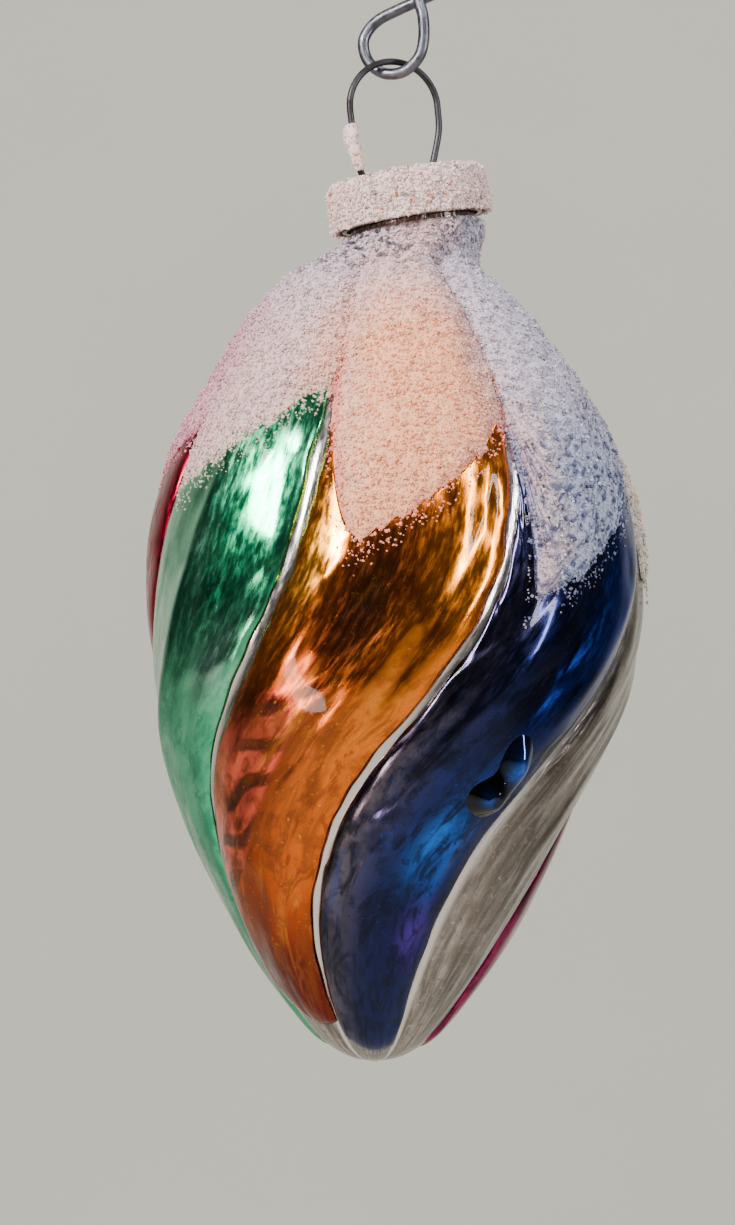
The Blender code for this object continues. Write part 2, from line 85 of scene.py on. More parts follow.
# Finer shape, which only the visual model has
CREASES = {  # place across the lobe, height of the crease, its half width in shares of the lobe
    "green": ((0.06, 0.42 * MM, 0.05), (0.30, -0.14 * MM, 0.06)),
    "orange": ((0.33, -0.40 * MM, 0.06), (-0.24, 0.22 * MM, 0.07)),
    "blue": ((-0.26, -0.22 * MM, 0.06), (0.31, 0.20 * MM, 0.06)),
    "silver": ((0.05, 0.16 * MM, 0.05), (0.28, -0.20 * MM, 0.05)),
    "magenta": ((-0.10, 0.22 * MM, 0.07),),
    "gold": ((0.20, -0.24 * MM, 0.06),),
    "red": ((0.0, 0.26 * MM, 0.06),),
}
DENTS = (  # lobe, place across, height, half width, half height, depth: where the glass sank
    ("orange", -0.02, 40 * MM, 0.20, 8 * MM, 0.75 * MM),
    ("orange", -0.22, 25 * MM, 0.16, 6 * MM, 0.45 * MM),
    ("green", 0.27, 41 * MM, 0.12, 5 * MM, 0.40 * MM),
    ("green", -0.20, 36 * MM, 0.14, 14 * MM, 0.35 * MM),
    ("blue", 0.02, 40 * MM, 0.18, 10 * MM, 0.60 * MM),
    ("blue", 0.10, 17 * MM, 0.20, 6 * MM, 0.40 * MM),
    ("silver", -0.10, 30 * MM, 0.20, 12 * MM, 0.45 * MM),
    ("gold", 0.0, 36 * MM, 0.20, 10 * MM, 0.50 * MM),
    ("red", 0.1, 30 * MM, 0.20, 9 * MM, 0.45 * MM),
)
WOBBLE = 0.11 * MM  # blown glass is never even
SILVER_STREAKS = 0.05 * MM
LACQUER_FILM = 0.30 * MM
LACQUER_MARGIN, LACQUER_WANDER = 0.025, 0.022  # bare glass beside the film, in shares of a lobe
LACQUER_UNDER_SNOW = 1.6 * MM
LACQUER_ENDS = {  # the height of the film's lower end, its place across, how far its sides rise
    "green": (1.6 * MM, 0.5, 0.8 * MM), "orange": (4.2 * MM, 0.78, 5.0 * MM),
    "blue": (1.7 * MM, 0.6, 1.5 * MM), "magenta": (1.6 * MM, 0.5, 0.8 * MM),
    "gold": (2.6 * MM, 0.5, 1.6 * MM), "red": (1.8 * MM, 0.5, 0.8 * MM),
}
SNOW_LIFT = 0.55 * MM  # middle of the crust's outer face above the glass
SNOW_ROUGHNESS = 0.20 * MM
CAP_SNOW_GAP, CAP_SNOW_THICK, CAP_SNOW_CORNER = 0.25 * MM, 0.55 * MM, 0.9 * MM
CLUMP_LOW, CLUMP_HIGH = 0.24 * LOOP_CENTRE, 0.88 * LOOP_CENTRE
GRAIN = 0.19 * MM
SHOULDER_GRAINS, CAP_GRAINS = 22000, 4500
STRAY_GRAINS = 0.05  # the share of the shoulder's grains that lies below the snow's edge
LOBE_WIDTH = 18 * MM  # near the snow's edge
LOBE_WIDTH_AT_DROPS = 16.8  # in mm
DROP_SLANT = 0.72  # mm across for each mm up
DROP_LEVEL, DROP_RISE = 0.36, 1.05 * MM  # the swell at the drops' border; how high they stand

# How fine the meshes are
GLASS_COLUMNS, SNOW_COLUMNS = 36, 46  # for each lobe
LACQUER_ROWS, LACQUER_COLUMNS = 150, 44
CAP_SNOW_COLUMNS = 200


# Meshes


def new_object(name, data):
    made = bpy.data.objects.new(name, data)
    bpy.context.scene.collection.objects.link(made)
    return made


def mesh_object(name, points, faces, body, material):
    mesh = bpy.data.meshes.new(name)
    mesh.from_pydata(points, [], faces)
    mesh.shade_smooth()
    mesh.materials.append(material)
    made = new_object(name, mesh)
    if body:
        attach(made, body)
    return made


def shell_faces(rows, columns, ring=True, poles=False):
    """Faces of a closed shell: an outer grid of points, then an inner one, then two poles."""
    inside = rows * columns
    start = np.arange(columns if ring else columns - 1)
    across = np.stack([start, (start + 1) % columns], 1)
    low = (np.arange(rows - 1) * columns)[:, None]
    a, b = (low + across[:, 0]).ravel(), (low + across[:, 1]).ravel()
    c, d = b + columns, a + columns
    faces = [np.stack([a, b, c, d], 1), np.stack([b, a, d, c], 1) + inside]
    top = (rows - 1) * columns
    a, b = across[:, 0], across[:, 1]
    faces.append(np.stack([top + a, top + b, top + b + inside, top + a + inside], 1))
    if not poles:
        faces.append(np.stack([b, a, a + inside, b + inside], 1))
    if not ring:
        a = np.arange(rows - 1) * columns
        faces.append(np.stack([a, a + columns, a + columns + inside, a + inside], 1))
        b = a + columns - 1
        faces.append(np.stack([b + columns, b, b + inside, b + columns + inside], 1))
    quads = np.concatenate(faces).tolist()
    if poles:
        quads += [(2 * inside, int(q), int(p)) for p, q in across]
        quads += [(2 * inside + 1, inside + int(p), inside + int(q)) for p, q in across]
    return quads


def shell(name, outer, inner, body, material, ring=True, poles=None):
    rows, columns = outer.shape[:2]
    points = np.concatenate([outer.reshape(-1, 3), inner.reshape(-1, 3)])
    if poles is not None:
        points = np.concatenate([points, poles])
    faces = shell_faces(rows, columns, ring, poles is not None)
    return mesh_object(name, points.tolist(), faces, body, material)


def paint(obj, colours):
    """A tint for each point of the mesh, which its material reads."""
    layer = obj.data.color_attributes.new("tint", "FLOAT_COLOR", "POINT")
    flat = np.ones((len(obj.data.vertices), 4), np.float32)
    flat[: len(colours), : colours.shape[1]] = colours
    layer.data.foreach_set("color", flat.ravel())


def lay_out(obj, turn, height):
    """UVs for a shell's patterns: the place round the bulb in lobes, and the height in mm."""
    layer = obj.data.uv_layers.new(name="lobe")
    corners = np.empty(len(obj.data.loops), np.int32)
    obj.data.loops.foreach_get("vertex_index", corners)
    grid = np.stack([turn.ravel(), height.ravel() / MM], 1)
    both = np.zeros((len(obj.data.vertices), 2), np.float32)
    both[: 2 * len(grid)] = np.tile(grid, (2, 1))
    layer.data.foreach_set("uv", both[corners].ravel())


def noise_at(points, size, seed=0):
    """Perlin noise with lumps of this size, from about -1 to 1, at each point."""
    flat = points.reshape(-1, 3) / size + seed * 17.3
    values = [noise.noise(Vector(p)) for p in flat]
    return np.array(values).reshape(points.shape[:-1])


def tube(name, path, radius, body, material, sides=20):
    """A round wire along a path, with rounded ends, as one closed mesh."""
    path = [Vector(p) for p in path]
    ahead = [(b - a).normalized() for a, b in zip(path, path[1:])]
    tangents = [ahead[0]] + [(a + b).normalized() for a, b in zip(ahead, ahead[1:])] + [ahead[-1]]
    side = tangents[0].orthogonal().normalized()
    points, rings = [], 0
    for i, (centre, tangent) in enumerate(zip(path, tangents)):
        side = (side - side.dot(tangent) * tangent).normalized()
        other = tangent.cross(side)
        steps = [(0, 1)]
        if i == 0:
            steps = [(-math.cos(a), math.sin(a)) for a in (0.5, 1.0)] + steps
        if i == len(path) - 1:
            steps += [(math.cos(a), math.sin(a)) for a in (1.0, 0.5)]
        for shift, swell in steps:
            rings += 1
            for k in range(sides):
                angle = math.tau * k / sides
                spoke = side * math.cos(angle) + other * math.sin(angle)
                points.append(centre + tangent * shift * radius + spoke * swell * radius)
    faces = []
    for ring in range(rings - 1):
        for k in range(sides):
            a, b = ring * sides + k, ring * sides + (k + 1) % sides
            faces.append((a, b, b + sides, a + sides))
    faces.append(tuple(reversed(range(sides))))
    faces.append(tuple(range((rings - 1) * sides, rings * sides)))
    return mesh_object(name, points, faces, body, material)


def grains(name, places, normals, seed, body, material, colours, scale=1.0):
    """Loose grains, each an uneven crystal with eight faces, sunk a little into what it is on."""
    bead = np.array([(1, 0, 0), (-1, 0, 0), (0, 1, 0), (0, -1, 0), (0, 0, 1), (0, 0, -1)], float)
    corners = np.array(
        [(0, 2, 4), (2, 1, 4), (1, 3, 4), (3, 0, 4), (2, 0, 5), (1, 2, 5), (3, 1, 5), (0, 3, 5)]
    )
    rng = np.random.default_rng(seed)
    count = len(places)
    size = GRAIN * scale * rng.uniform(0.55, 1.25, count) ** 1.2
    squash = rng.uniform(0.7, 1.25, (count, 1, 3))
    turn = rng.normal(size=(count, 4))
    turn /= np.linalg.norm(turn, axis=1, keepdims=True)
    w, x, y, z = turn.T
    spin = np.stack(
        [
            1 - 2 * (y * y + z * z), 2 * (x * y - z * w), 2 * (x * z + y * w),
            2 * (x * y + z * w), 1 - 2 * (x * x + z * z), 2 * (y * z - x * w),
            2 * (x * z - y * w), 2 * (y * z + x * w), 1 - 2 * (x * x + y * y),
        ],
        1,
    ).reshape(count, 3, 3)
    beads = np.einsum("nij,nkj->nki", spin, bead[None] * squash * size[:, None, None])
    beads += (places + normals * (size * 0.25)[:, None])[:, None]
    faces = corners[None] + (np.arange(count) * len(bead))[:, None, None]
    points, faces = beads.reshape(-1, 3).tolist(), faces.reshape(-1, 3).tolist()
    piece = mesh_object(name, points, faces, body, material)
    piece.data.shade_flat()
    paint(piece, np.repeat(colours, len(bead), axis=0))
    return piece


# The bulb's surface


def smooth_step(value, low, high):
    share = np.clip((value - low) / (high - low), 0, 1)
    return share * share * (3 - 2 * share)


def smooth_path(points, steps):
    """Points on a Catmull-Rom curve through these points."""
    points = [Vector(p) for p in points]
    ends = [2 * points[0] - points[1], *points, 2 * points[-1] - points[-2]]
    path = []
    for a, b, c, d in zip(ends, ends[1:], ends[2:], ends[3:]):
        for step in range(steps):
            t = step / steps
            path.append(
                0.5 * (2 * b + (c - a) * t + (2 * a - 5 * b + 4 * c - d) * t**2)
                + 0.5 * (3 * b - a - 3 * c + d) * t**3
            )
    return path + [points[-1]]


CURVE = np.array(smooth_path([*OUTLINE, (OUTLINE[-1][0], RIM_HEIGHT / MM)], 40)) * MM


def outline_heights(low, high, rows):
    """Heights of rows spread evenly along the outline."""
    heights = np.linspace(low, high, 600)
    radii = np.interp(heights, CURVE[:, 1], CURVE[:, 0])
    lengths = np.concatenate([[0], np.cumsum(np.hypot(np.diff(radii), np.diff(heights)))])
    return np.interp(np.linspace(0, lengths[-1], rows), lengths, heights)


def twist(height):
    return TWIST_SWING * np.tanh((height - TWIST_MIDDLE) / TWIST_LENGTH)


def groove_depth(height):
    deeper = (SHOULDER_DEPTH - GROOVE_DEPTH) * smooth_step(height, DEEPER_START, DEEPER_END)
    near_tip = smooth_step(height, 0, TIP_GROOVES_END) ** 0.6
    near_neck = 1 - smooth_step(height, NECK_START, NECK_STRAIGHT)
    return (GROOVE_DEPTH + deeper) * near_tip * near_neck


def lobe_fall(across):
    left = (np.clip(CREST - across, 0, 1) / (CREST + 0.5)) ** LEFT_FLANK
    right = (np.clip(across - CREST, 0, 1) / (0.5 - CREST)) ** RIGHT_FLANK
    return left + right


def relief(turn, height):
    """Creases and dents in the lobes, and the slow wobble of blown glass."""
    turn, height = np.broadcast_arrays(turn, height)
    lobe, across = np.floor(turn) % len(LOBES), turn % 1 - 0.5
    total = np.zeros(turn.shape)
    for number, name in enumerate(LOBES):
        for place, rise, width in CREASES[name]:
            drift = 0.05 * np.sin(height / (9 * MM) + number)
            crease = rise / (1 + ((across - place - drift) / width) ** 2)
            total = total + np.where(lobe == number, crease, 0)
    for name, place, level, wide, tall, deep in DENTS:
        reach = ((across - place) / wide) ** 2 + ((height - level) / tall) ** 2
        total = total - np.where(lobe == LOBES.index(name), deep * np.exp(-reach), 0)
    streaks = np.sin(turn * 43 + 2 * np.sin(height / (6 * MM)))
    streaks = streaks * np.sin(height / (9 * MM) + turn * 5)
    total = total + np.where(lobe == LOBES.index("silver"), SILVER_STREAKS * streaks, 0)
    wave = np.sin(turn * 5.1 + height / (5.2 * MM)) * np.sin(height / (7.3 * MM) - turn * 2.3)
    finer = np.sin(turn * 9.7 - height / (4.1 * MM)) * np.sin(height / (3.1 * MM) + turn)
    wave = wave + 0.5 * finer
    in_lobe = 1 - (2 * across) ** 4  # nothing in the grooves, where one lobe meets the next
    fade = smooth_step(height, 6 * MM, 20 * MM) * (1 - smooth_step(height, 55 * MM, 68 * MM))
    return (total * in_lobe + WOBBLE * wave) * fade


def middle_at(height):
    shift = SWAY * smooth_step(height, SWAY_START, SWAY_END)
    shift = shift + SHOULDER_SHIFT * smooth_step(height, 60 * MM, NECK_START)
    shift = shift + (NECK_SHIFT - SHOULDER_SHIFT) * smooth_step(height, NECK_START, NECK_STRAIGHT)
    return shift - math.tan(CAP_LEAN) * np.clip(height - NECK_STRAIGHT, 0, None)


def glass(turn, height):
    """Points of the glass. turn counts lobes round the bulb, so 1.5 is the middle of the second."""
    turn, height = np.broadcast_arrays(np.asarray(turn, float), np.asarray(height, float))
    radius = np.interp(height, CURVE[:, 1], CURVE[:, 0]) + relief(turn, height)
    radius = radius - groove_depth(height) * lobe_fall(turn % 1 - 0.5)
    angle = FIRST_GROOVE + turn * LOBE_ANGLE + twist(height)
    lean = CAP_LEAN * smooth_step(height, NECK_START, NECK_STRAIGHT)
    out = radius * np.sin(angle)
    x = middle_at(height) + out * np.cos(lean)
    return np.stack([x, -radius * np.cos(angle), height + out * np.sin(lean)], -1) + TIP


def glass_normal(turn, height):
    step_turn, step_up = 0.012, 0.15 * MM
    low = np.maximum(height - step_up, TIP_HEIGHT)
    along = glass(turn, height + step_up) - glass(turn, low)
    around = glass(turn + step_turn, height) - glass(turn - step_turn, height)
    normal = np.cross(around, along)
    return normal / np.linalg.norm(normal, axis=-1, keepdims=True)


def coat(turn, height, offset):
    """Points this far outside the glass, square to it."""
    return glass(turn, height) + glass_normal(turn, height) * offset[..., None]


def snow_edge(turn):
    """The height of the snow's lower edge: one tongue down each lobe."""
    lobe, across = (np.floor(turn) % len(LOBES)).astype(int), turn % 1 - 0.5
    rows = np.array([SNOW_TONGUES[name] for name in LOBES])
    tip_across, tip, left = np.moveaxis(rows[lobe], -1, 0)
    right = rows[(lobe + 1) % len(LOBES)][..., 2]
    before = np.clip((tip_across - across) / (tip_across + 0.5), 0, 1) ** TONGUE_RISE
    after = np.clip((across - tip_across) / (0.5 - tip_across), 0, 1) ** TONGUE_BEND
    return np.where(across < tip_across, tip + (left - tip) * before, tip + (right - tip) * after)


def ragged_edge(turn):
    """The snow's lower edge with its small teeth."""
    spots = np.stack([turn * 14, turn * 0, turn * 0], -1)
    wide, fine = noise_at(spots, 1.0), noise_at(spots, 0.25, 1)
    return snow_edge(turn) + (0.85 * wide + 0.65 * fine / np.hypot(1, edge_slope(turn))) * MM


def edge_slope(turn):
    step = 0.01
    slope = (snow_edge(turn + step) - snow_edge(turn - step)) / (2 * step * LOBE_WIDTH)
    return np.clip(slope, -4, 4)


def depth_in_snow(turn, height, edge):
    """How far a place is inside the snow, square to its edge."""
    return (height - edge) / np.hypot(1, edge_slope(turn))


def snow_lift(depth, on_glass):
    """The height of the crust's lumpy face above the glass, less near its edge."""
    lumps = noise_at(on_glass, 1.4 * MM, 1) + 0.9 * noise_at(on_glass, 0.6 * MM, 2)
    lift = (SNOW_LIFT + SNOW_ROUGHNESS * lumps) * (0.25 + 0.75 * smooth_step(depth, 0, 2.2 * MM))
    return np.maximum(lift, 0.12 * MM)


# Materials


class Nodes:
    """Short ways to add pattern nodes to one material."""

    def __init__(self, name):
        self.material = bpy.data.materials.new(name)
        self.material.use_nodes = True
        self.tree = self.material.node_tree
        self.shader = self.tree.nodes["Principled BSDF"]

    def set(self, **values):
        for name, value in values.items():
            self.shader.inputs[name.replace("_", " ")].default_value = value

    def link(self, output, socket):
        self.tree.links.new(output, self.shader.inputs[socket])

    def add(self, kind, inputs, **settings):
        node = self.tree.nodes.new(kind)
        for name, value in settings.items():
            setattr(node, name, value)
        for name, value in inputs.items():
            if isinstance(value, bpy.types.NodeSocket):
                self.tree.links.new(value, node.inputs[name])
            else:
                node.inputs[name].default_value = value
        return node

    def place(self, stretch=(1, 1, 1)):
        """The mesh's own coordinates in millimetres, stretched."""
        coordinates = self.add("ShaderNodeTexCoord", {}).outputs["Object"]
        scale = [1000 * s for s in stretch]
        return self.add("ShaderNodeMapping", {"Vector": coordinates, "Scale": scale}).outputs[0]

    def along_lobe(self, across, along):
        uv = self.add("ShaderNodeUVMap", {}, uv_map="lobe").outputs[0]
        return self.add("ShaderNodeMapping", {"Vector": uv, "Scale": (across, along, 1)}).outputs[0]

    def in_lobe(self):
        """Separate numbers for the place round the bulb, in lobes, and the height in mm."""
        uv = self.add("ShaderNodeUVMap", {}, uv_map="lobe").outputs[0]
        return self.add("ShaderNodeSeparateXYZ", {"Vector": uv}).outputs

    def tint(self):
        return self.add("ShaderNodeAttribute", {}, attribute_name="tint").outputs["Color"]

    def noise(self, vector, scale, detail=4, roughness=0.55, distortion=0.0):
        inputs = {
            "Vector": vector, "Scale": scale, "Detail": detail, "Roughness": roughness,
            "Distortion": distortion,
        }
        return self.add("ShaderNodeTexNoise", inputs).outputs["Fac"]

    def cells(self, vector, scale, output="Distance"):
        return self.add("ShaderNodeTexVoronoi", {"Vector": vector, "Scale": scale}).outputs[output]

    def spread(self, value, low, high, to_low=0.0, to_high=1.0):
        inputs = {"Value": value, 1: low, 2: high, 3: to_low, 4: to_high}
        return self.add("ShaderNodeMapRange", inputs, interpolation_type="SMOOTHSTEP").outputs[0]

    def times(self, a, b):
        return self.add("ShaderNodeMath", {0: a, 1: b}, operation="MULTIPLY").outputs[0]

    def mix(self, share, a, b, how="MIX"):
        made = self.add("ShaderNodeMix", {}, data_type="RGBA", blend_type=how)
        for socket, value in ((0, share), (6, a), (7, b)):
            if isinstance(value, bpy.types.NodeSocket):
                self.tree.links.new(value, made.inputs[socket])
            else:
                made.inputs[socket].default_value = value if socket == 0 else (*value, 1)
        return made.outputs[2]

    def bump(self, height, strength, distance, under=None):
        inputs = {"Height": height, "Strength": strength, "Distance": distance}
        if under is not None:
            inputs["Normal"] = under
        return self.add("ShaderNodeBump", inputs).outputs[0]


def mirror_material(name, shade, streak):
    """Bare silvered glass: a mirror with long streaks, age spots and a hand-blown ripple, and a
    painted highlight along each groove.
    """
    m = Nodes(name)
    streaks = m.noise(m.along_lobe(11, 0.14), 1.0, 4, 0.6, 0.8)
    swells = m.noise(m.along_lobe(5, 0.10), 1.0, 1, 0.5, 0.5)
    scratches = m.noise(m.along_lobe(34, 0.5), 1.0, 3)
    clouds = m.noise(m.place(), 0.20, 5, 0.6)
    colour = m.mix(m.spread(streaks, 0.38, 0.66), streak, shade)
    colour = m.mix(m.spread(clouds, 0.48, 0.68, 0, 0.7), colour, (0.16, 0.12, 0.10))
    spots = m.spread(m.cells(m.place(), 0.9), 0.05, 0.16, 0.6, 0)
    colour = m.mix(spots, colour, (0.05, 0.04, 0.03))
    grit = m.noise(m.place(), 1.6, 6, 0.75)
    colour = m.mix(m.spread(grit, 0.50, 0.34, 0, 0.6), colour, streak)
    colour = m.mix(m.spread(grit, 0.56, 0.70, 0, 0.5), colour, (0.70, 0.62, 0.60))
    # A painted highlight: a pale line along each groove, where one lobe meets the next
    groove_highlight = m.add("ShaderNodeMath", {0: m.in_lobe()["X"], 1: 0.5}, operation="PINGPONG")
    colour = m.mix(m.spread(groove_highlight.outputs[0], 0.075, 0.02, 0, 0.8), colour, (0.80, 0.72, 0.71))
    m.link(colour, "Base Color")
    m.link(m.spread(scratches, 0.3, 0.75, 0.10, 0.34), "Roughness")
    ripple = m.bump(swells, 0.6, 0.8 * MM)
    m.link(m.bump(streaks, 0.35, 0.20 * MM, ripple), "Normal")
    m.set(Metallic=1.0, Coat_Weight=0.35, Coat_Roughness=0.05)
    return m.material


def lacquer_material(name, dark, painted_highlight, gloss=1.0):
    """Coloured lacquer over silvering, with a painted sheen along its streaks, painted glints and
    painted shade in dark ribs low on the lobe. The mesh carries the colour's slow changes.
    """
    m = Nodes(name)
    streaks = m.noise(m.along_lobe(6, 0.10), 1.0, 4, 0.58, 0.9)
    swells = m.noise(m.along_lobe(3.5, 0.13), 1.0, 1, 0.5, 0.6)
    brushed = m.noise(m.along_lobe(40, 0.55), 1.0, 3, 0.6)
    clouds = m.noise(m.place(), 0.30, 5, 0.62)
    crackle = m.noise(m.place(), 2.4, 4, 0.7)
    colour = m.tint()
    above_tip = m.spread(m.in_lobe()["Y"], 6, 15, 0.1, 1)
    # A painted sheen: the highlight colour along the brighter streaks, fading towards the tip
    painted_sheen = m.times(m.spread(streaks, 0.54, 0.78, 0, 0.55), above_tip)
    colour = m.mix(painted_sheen, colour, painted_highlight)
    high = m.spread(m.in_lobe()["Y"], 26, 42)
    colour = m.mix(m.spread(streaks, 0.47, 0.30, 0, 0.7), colour, dark)
    colour = m.mix(m.spread(clouds, 0.52, 0.36, 0, 0.6), colour, dark)
    # Painted shade: dark ribs along the lobe, strongest on its lower part
    ribs = m.noise(m.along_lobe(9, 0.30), 1.0, 5, 0.62, 1.2)
    darker_share = m.times(m.spread(ribs, 0.53, 0.36, 0, 0.8), m.spread(high, 0, 1, 1, 0.15))
    colour = m.mix(darker_share, colour, dark)
    flecks = m.times(m.spread(crackle, 0.62, 0.72), m.spread(clouds, 0.46, 0.62))
    colour = m.mix(flecks, colour, dark)
    # Painted glints: small speckles of the highlight colour
    painted_glints = m.times(m.spread(crackle, 0.40, 0.30), m.spread(clouds, 0.58, 0.42))
    colour = m.mix(m.times(painted_glints, m.times(above_tip, 0.8)), colour, painted_highlight)
    m.link(colour, "Base Color")
    m.link(m.spread(brushed, 0.3, 0.75, 0.10 / gloss, 0.34 / gloss), "Roughness")
    wave = m.bump(swells, 0.7, 0.9 * MM)
    m.link(m.bump(brushed, 0.2, 0.04 * MM, wave), "Normal")
    m.set(Metallic=1.0, Coat_Weight=0.3, Coat_Roughness=0.05)
    return m.material


def snow_material(name, speck, specks_from):
    """Glass beads in varnish. The mesh carries the colour that shows through from below."""
    m = Nodes(name)
    fine = m.cells(m.place(), 4.2, "Color")
    bead = m.cells(m.place(), 4.2)
    grey = m.add("ShaderNodeRGBToBW", {"Color": fine}).outputs[0]
    blotch = m.noise(m.place(), 0.75, 6, 0.7)
    colour = m.mix(1.0, m.tint(), m.mix(grey, (0.80, 0.80, 0.80), (1.12, 1.12, 1.12)), "MULTIPLY")
    colour = m.mix(m.spread(blotch, 0.42, 0.28, 0, 0.32), colour, (0.30, 0.22, 0.22))
    dots = m.spread(m.noise(m.place(), 2.6, 3, 0.7), specks_from, specks_from + 0.08, 0, 0.85)
    colour = m.mix(dots, colour, speck)
    m.link(colour, "Base Color")
    m.link(m.spread(grey, 0.72, 0.86, 0.85, 0.28), "Roughness")
    lumps = m.bump(blotch, 0.7, 0.35 * MM)
    m.link(m.bump(m.spread(bead, 0, 0.5, 1, 0), 0.9, 0.16 * MM, lumps), "Normal")
    m.set(Specular_IOR_Level=0.6)
    return m.material


def wire_material(name, colour, stain, roughness):
    """Bare metal with stained patches."""
    m = Nodes(name)
    grain = m.noise(m.place(), 2.2, 5, 0.65)
    patches = m.noise(m.place(), 0.5, 4, 0.6)
    m.link(m.mix(m.spread(patches, 0.45, 0.68, 0, 0.8), colour, stain), "Base Color")
    m.link(m.spread(grain, 0.3, 0.7, roughness - 0.1, roughness + 0.18), "Roughness")
    m.link(m.bump(grain, 0.35, 0.05 * MM), "Normal")
    m.set(Metallic=1.0)
    return m.material


DROP_BLACK = (0.001, 0.001, 0.004)


def drip_material():
    """Thick dark lacquer. The mesh carries a painted blue highlight on each drop."""
    m = Nodes("dark_lacquer_drip")
    clouds = m.noise(m.place(), 0.8, 4)
    colour = m.mix(m.spread(clouds, 0.40, 0.62, 0, 0.6), m.tint(), DROP_BLACK)
    m.link(colour, "Base Color")
    m.link(m.spread(clouds, 0.3, 0.7, 0.05, 0.12), "Roughness")
    m.set(Metallic=1.0, Coat_Weight=0.5, Coat_Roughness=0.03)
    return m.material


# Colours that change slowly over a lobe


LACQUERS = {
    "green": (0.09, 0.54, 0.29), "orange": (0.95, 0.18, 0.004), "blue": (0.006, 0.016, 0.12),
    "magenta": (0.30, 0.008, 0.09), "gold": (0.72, 0.36, 0.03), "red": (0.34, 0.006, 0.03),
}
# Many of these patches are painted highlights, painted reflections and painted shade, as marked
# below
LACQUER_PATCHES = {  # place across, height in mm, half width, half height in mm, strength, colour
    "green": (
        # A painted reflection: the pale mint band on the left; then a brighter emerald patch near
        # the top
        (-0.36, 34, 0.34, 24, 1, (0.27, 0.62, 0.43)), (0.27, 50, 0.18, 8, 1, (0.01, 0.58, 0.22)),
        # A dark spot, and a painted highlight in light mint at the right
        (0.20, 42, 0.18, 2.6, 1, (0.008, 0.18, 0.09)), (0.34, 36, 0.12, 3, 1, (0.36, 0.70, 0.54)),
        # Painted shade along the crease, and darker towards the bottom
        (0.02, 34, 0.035, 26, 0.8, (0.01, 0.12, 0.07)), (0, 8, 0.6, 12, 1, (0.03, 0.22, 0.13)),
    ),
    "orange": (
        # Painted dark reflections, brown in the middle of the lobe
        (-0.06, 41, 0.19, 8, 1, (0.17, 0.065, 0.03)), (-0.08, 31, 0.28, 8, 1, (0.20, 0.045, 0.015)),
        # Another painted dark reflection lower on the left, and a painted highlight at the upper
        # left
        (-0.20, 23, 0.34, 12, 1, (0.22, 0.03, 0.006)), (-0.36, 46, 0.09, 7, 1, (1.0, 0.42, 0.03)),
        # A painted highlight at the upper right, and darker red towards the bottom
        (0.30, 48, 0.17, 16, 1, (1.0, 0.30, 0.01)), (0, 9, 0.7, 11, 1, (0.34, 0.025, 0.002)),
    ),
    "blue": (
        # A brighter blue patch at the upper right, and a painted highlight in cyan beside the drip
        (0.27, 42, 0.20, 9, 1, (0.008, 0.04, 0.32)), (0.12, 21, 0.10, 3.6, 1, (0.02, 0.22, 0.95)),
        # Another painted highlight lower at the right, and a near-black patch at the upper left
        (0.27, 19, 0.05, 5, 1, (0.02, 0.15, 0.75)), (-0.30, 47, 0.22, 10, 1, (0.002, 0.003, 0.016)),
        # A dark patch in the middle, and darker towards the bottom
        (-0.02, 35, 0.10, 10, 1, (0.002, 0.004, 0.03)), (0, 11, 0.6, 10, 1, (0.003, 0.007, 0.055)),
        # The bare grey-brown flank on the left, and a painted highlight in purple near the bottom
        (-0.46, 18, 0.22, 20, 1, (0.14, 0.11, 0.12)), (0.28, 13, 0.12, 2.5, 1, (0.06, 0.02, 0.26)),
    ),
}
for shaded in ("magenta", "gold", "red"):  # these have one darker patch each
    LACQUER_PATCHES[shaded] = ((0.2, 24, 0.25, 12, 1, [0.6 * c for c in LACQUERS[shaded]]),)


def blob(across, height, at_across, at_height, wide, tall, strength):
    """A soft patch: full in its middle, 0 outside."""
    reach = ((across - at_across) / wide) ** 2 + ((height / MM - at_height) / tall) ** 2
    return strength * np.exp(-reach)[..., None]


def blended(base, *patches):
    """The base colour with each (share, colour) laid over it in turn."""
    colour = np.array(base, float)
    for share, over in patches:
        colour = colour * (1 - share) + np.array(over) * share
    return colour


def lacquer_tint(lobe, across, height):
    """A lobe's colour at each point, with its painted highlights, painted reflections and painted
    shade, before the material's streaks.
    """
    patches = [(blob(across, height, *place), over) for *place, over in LACQUER_PATCHES[lobe]]
    colour = blended(LACQUERS[lobe], *patches)
    if lobe != "orange":
        return colour
    # A painted reflection, a coral patch with dark gaps like claws; and a dark red lower end
    reach = ((across + 0.21) / 0.23) ** 2 + ((height / MM - 25) / 9) ** 2
    painted_coral_reflection = smooth_step(-reach, -1.15, -0.85)[..., None]
    wave = height / MM * 1.5 - across * 9 + 1.1 * np.sin(height / MM * 0.7 + across * 11)
    gaps = smooth_step(np.sin(wave), 0.15, 0.5) * smooth_step(across, -0.36, -0.22)
    end = np.minimum(1, blob(across, height, 0.1, 3, 0.9, 8, 2.6))
    painted_reflection_gaps = (painted_coral_reflection * gaps[..., None], (0.12, 0.02, 0.01))
    return blended(colour, (painted_coral_reflection, (1.0, 0.13, 0.07)), painted_reflection_gaps, (end, (0.12, 0.006, 0.001)))


